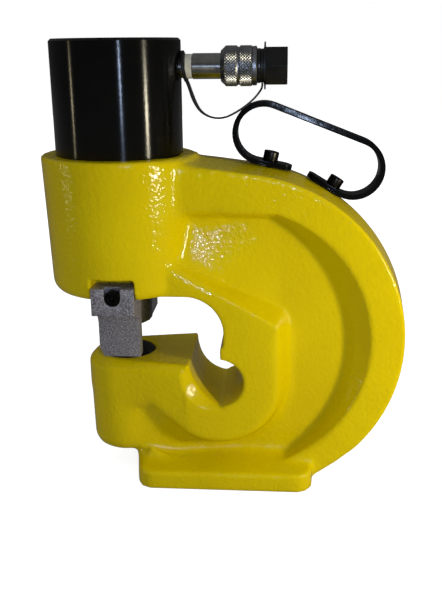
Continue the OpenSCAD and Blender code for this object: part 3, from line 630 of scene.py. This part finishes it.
first_band, second_band = (band(start) for start in BAND_STARTS)
collar = turned("knurled_collar", [(0, 10.8), (0, 12.6), (0.5, 13.1), (3.4, 15.6), *first_band, (14.4, 15.3),
                                   (15.2, 15.3), *second_band, (26.2, 15.2), (26.8, 15.9), (29.4, 15.9), (30, 15.3),
                                   (30, 13.5), (2.7, 13.5), (0, 10.8)], COLLAR_SIDES)
for rows in (first_band, second_band):
    knurl(collar, rows[0][0], rows[-1][0])
along_port(collar, COLLAR_X)
smooth(collar, 20)
finish_piece(collar, "coupler_collar", KNURLED)


# Thread tape, tether eye and the loop on the cap. Values are in mm.

TAPE_X, TAPE_FOOT_R, TAPE_TOP_R = 59.3, 9.7, 10.15
TAPE_LAYERS, TAPE_STEP, TAPE_DIP = 10, 0.55, 0.25
EYE_X, EYE_LEAN = 58.1, -7
LOOP_X, LOOP_SIDES = 124.2, 48
TAB_HALF, TAB_INSIDE, TAB_FROM = 2.2, 14.2, 0.5     # faces of the loop's rim that grow into tabs
TAB_GROW, TAB_MIDDLE = (1.26, 0.7, 0.8), 1.4

tape_turns = [(0.3 + TAPE_STEP * i, TAPE_TOP_R - TAPE_DIP * (i % 2)) for i in range(TAPE_LAYERS)]
tape_foot = (0.1, TAPE_FOOT_R)
tape = along_port(turned("wound_tape", [tape_foot, *tape_turns, (5.6, TAPE_FOOT_R), tape_foot]), TAPE_X)
smooth(tape, 60)
finish_piece(tape, "thread_tape", TAPE)

eye = along_port(turned("tether_loop", [(-1.3, 10.4), (-1.3, 12.4), (-0.9, 12.9), (0.9, 12.9), (1.3, 12.4),
                                        (1.3, 10.4), (-1.3, 10.4)]), EYE_X, EYE_LEAN)
smooth(eye, 30)
finish_piece(eye, "tether_eye", RUBBER)


def cap_loop():
    """Moulded loop on the cap's neck, with a pull tab above and the cord's lug below."""
    loop = turned("cap_loop", [(-2.2, 11.4), (-2.2, 13.3), (-1.8, 13.7), (0.2, 13.7), (0.6, 15.2), (2.2, 15.2),
                               (2.2, 11.4), (-2.2, 11.4)], LOOP_SIDES)
    select_faces(loop, lambda p: abs(p.y) < TAB_HALF * MM and abs(p.x) > TAB_INSIDE * MM and p.z > TAB_FROM * MM)
    edit_chosen(loop, FACES)
    bpy.ops.mesh.extrude_region_move(TRANSFORM_OT_translate={"value": (0, 0, 0)})
    bpy.ops.transform.resize(value=TAB_GROW, center_override=(0, 0, TAB_MIDDLE * MM))
    leave_edit()
    along_port(loop, LOOP_X)
    smooth(loop, 40)
    return loop


finish_piece(cap_loop(), "cap_ring", RUBBER)


# Springs, drawn as coils of round wire.

RETURN_R, RETURN_WIRE, RETURN_TURNS = 31 * MM, 3.5 * MM, 8
RETURN_LOW, RETURN_HIGH, RETURN_SEAT = 211.3 * MM, 326.4 * MM, 207.8 * MM
POPPET_R, POPPET_WIRE, POPPET_TURNS = 3.5 * MM, 0.4 * MM, 6
POPPET_LOW, POPPET_HIGH, POPPET_SEAT = 79.2 * MM, 93.8 * MM, 78.8 * MM

return_coil = wire("return_spring_coil", [p + Vector((PUNCH_X, 0, 0)) for p in
                                          helix(RETURN_R, RETURN_LOW, RETURN_HIGH, RETURN_TURNS)], RETURN_WIRE)
finish_piece(return_coil, "return_spring", SPRING)
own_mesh(return_coil)

poppet_coil = wire("poppet_spring_coil", helix(POPPET_R, POPPET_LOW, POPPET_HIGH, POPPET_TURNS), POPPET_WIRE)
along_port(poppet_coil, 0)
finish_piece(poppet_coil, "poppet_spring", SPRING)
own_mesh(poppet_coil)


# Hidden pieces, shown as their CAD nodes

for hidden, material in (("punch", GROUND), ("piston", GROUND), ("coupler_poppet", GROUND), ("ram_rod", HARD_CHROME),
                         ("guide_bush", BRONZE), ("guide_ring", RESIN), ("piston_seal", RUBBER),
                         ("rod_wiper", RUBBER), ("coupler_seal", RUBBER), ("collar_clip", SPRING)):
    paint(frame["nodes"][hidden], material)


# Light and floor

WHITE = "#FFFFFF"
FLOOR_SIZE, FLOOR_DROP = 8, 0.0005
FLOOR_DULL = 0.1                # the floor's level in reflections

# Name, place, target, size, power in W and colour
LAMPS = [("front_lamp", (0.12, -0.70, 0.37), (0, 0, 0.18), (0.02, 0.046), 1.15, "#C8DCFF"),
         ("right_lamp", (0.49, -0.33, 0.225), (0, 0, 0.18), (0.05, 0.09), 2.15, "#FFF4D6"),
         ("left_lamp", (-1.14, -0.34, 0.22), (-0.05, 0, 0.2), (0.016, 0.3), 0.75, "#FFF0C4")]


def area_light(name, place, target, size, power, code):
    light = bpy.data.lights.new(name, "AREA")
    light.shape = "RECTANGLE"
    light.size, light.size_y = size
    light.energy = power
    light.color = hex_color(code)[:3]
    obj = bpy.data.objects.new(name, light)
    obj.location = place
    obj.rotation_euler = (Vector(target) - Vector(place)).to_track_quat("-Z", "Y").to_euler()
    bpy.context.scene.collection.objects.link(obj)


def combine(tree, operation, first, second):
    """A value made of two others, each given as (node, output), as the value made is."""
    return add(tree, "ShaderNodeMath", {0: first, 1: second}, operation=operation), "Value"


def level_over(tree, source, span, levels):
    """A value that runs from one level to another while its source runs over a span."""
    return add(tree, "ShaderNodeMapRange", {"Value": source}, From_Min=span[0], From_Max=span[1],
               To_Min=levels[0], To_Max=levels[1]), "Result"


def direct_rays(tree, path):
    """1 for rays that come from the camera or through glass."""
    return combine(tree, "MAXIMUM", (path, "Is Camera Ray"), (path, "Is Transmission Ray"))


def pale_world():
    """White backdrop for the camera, a dim room in reflections, and a soft fill, most of it from above."""
    world = bpy.data.worlds.new("pale_studio")
    bpy.context.scene.world = world
    world.use_nodes = True
    tree = world.node_tree
    tree.nodes.clear()
    path = add(tree, "ShaderNodeLightPath")
    place = add(tree, "ShaderNodeTexCoord")
    way = add(tree, "ShaderNodeSeparateXYZ", {"Vector": (place, "Generated")})
    room = level_over(tree, (way, "Z"), (0.1, 0.6), (0.03, 0.14))
    mirrored = combine(tree, "MULTIPLY", (path, "Is Glossy Ray"), room)
    seen_level = combine(tree, "MAXIMUM", direct_rays(tree, path), mirrored)
    seen = add(tree, "ShaderNodeBackground", {"Strength": seen_level}, Color=hex_color(WHITE))
    high = level_over(tree, (way, "Z"), (0.1, 0.5), (1.0, 2.7))
    front = level_over(tree, (way, "Y"), (-0.8, 0.2), (0.14, 0.22))
    fill_level = combine(tree, "MULTIPLY", high, front)
    fill = add(tree, "ShaderNodeBackground", {"Strength": fill_level}, Color=hex_color("#F4F6FA"))
    mix = add(tree, "ShaderNodeMixShader", {"Fac": (path, "Is Diffuse Ray"), 1: (seen, "Background"),
                                            2: (fill, "Background")})
    add(tree, "ShaderNodeOutputWorld", {"Surface": (mix, "Shader")})


def pale_floor():
    """White floor that keeps the tool's shadow, stays white far away and shows dimly in reflections."""
    deselect_all()
    bpy.ops.mesh.primitive_plane_add(size=FLOOR_SIZE, location=(0, 0, -FLOOR_DROP))
    floor = bpy.context.object
    floor.name = "floor"
    material, tree, shader, place = new_material("pale_floor", Roughness=0.9, Specular_IOR_Level=0.0,
                                                 Base_Color=hex_color("#C4C4C4"))
    out = next(n for n in tree.nodes if n.type == "OUTPUT_MATERIAL")
    path = add(tree, "ShaderNodeLightPath")
    spot = add(tree, "ShaderNodeVectorMath", {0: (place, "Object")}, operation="LENGTH")
    far = level_over(tree, (spot, "Value"), (0.25, 1.2), (0.85, 1.0))
    level = combine(tree, "MULTIPLY", far, direct_rays(tree, path))
    glow = add(tree, "ShaderNodeEmission", {"Strength": level}, Color=hex_color(WHITE))
    both = add(tree, "ShaderNodeAddShader", {0: (shader, "BSDF"), 1: (glow, "Emission")})
    dull = add(tree, "ShaderNodeEmission", Color=hex_color(WHITE), Strength=FLOOR_DULL)
    mix = add(tree, "ShaderNodeMixShader", {"Fac": (path, "Is Glossy Ray"), 1: (both, "Shader"),
                                            2: (dull, "Emission")})
    tree.links.new(mix.outputs["Shader"], out.inputs["Surface"])
    paint(floor, material)


pale_world()
pale_floor()
for lamp in LAMPS:
    area_light(*lamp)
bpy.context.scene.view_settings.view_transform = "Standard"
